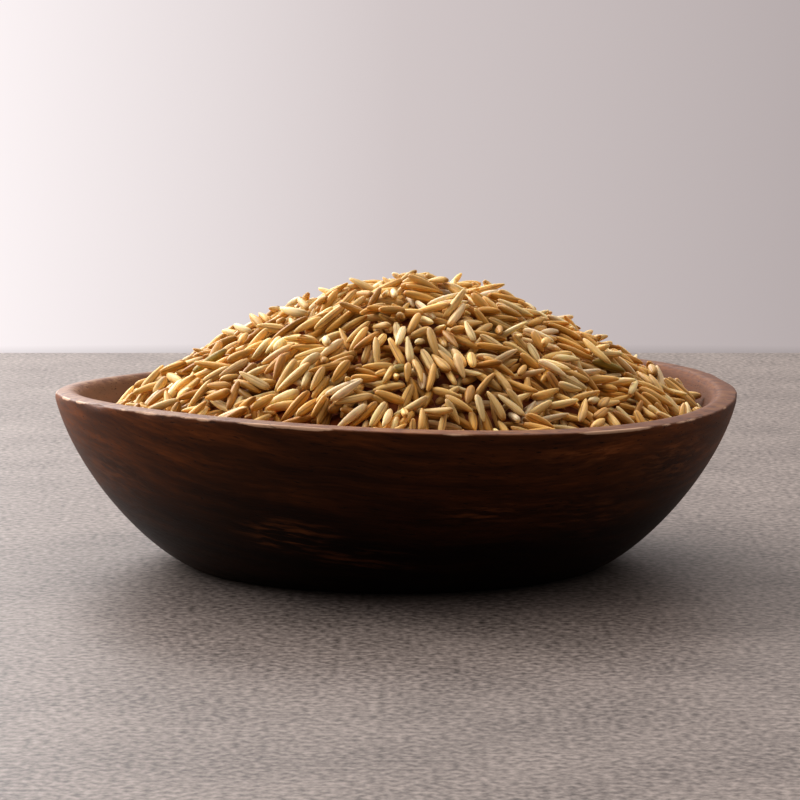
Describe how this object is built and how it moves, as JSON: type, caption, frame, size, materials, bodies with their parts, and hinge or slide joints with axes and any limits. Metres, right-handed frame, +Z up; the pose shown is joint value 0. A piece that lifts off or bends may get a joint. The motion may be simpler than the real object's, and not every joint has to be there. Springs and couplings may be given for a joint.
{
  "type": "wooden bowl of oat grains",
  "caption": "Low, wide turned wooden bowl in dark brown, with a flat foot and a bevelled rim, heaped to a dome with golden hulled oat grains.",
  "frame": {"origin": "middle of the bowl's flat foot, on the surface that it stands on", "axes": "+Z up out of the bowl, +X to the picture's right, +Y away from the picture's viewer"},
  "size_m": [0.15, 0.15, 0.064],
  "materials": {
    "dark_wood": "satin, turned, dark stained and oiled",
    "oats": "satin, natural hulled grain"
  },
  "bodies": {
    "root": {"bowl": "dark_wood", "oat_heap": "oats"}
  },
  "joints": []
}
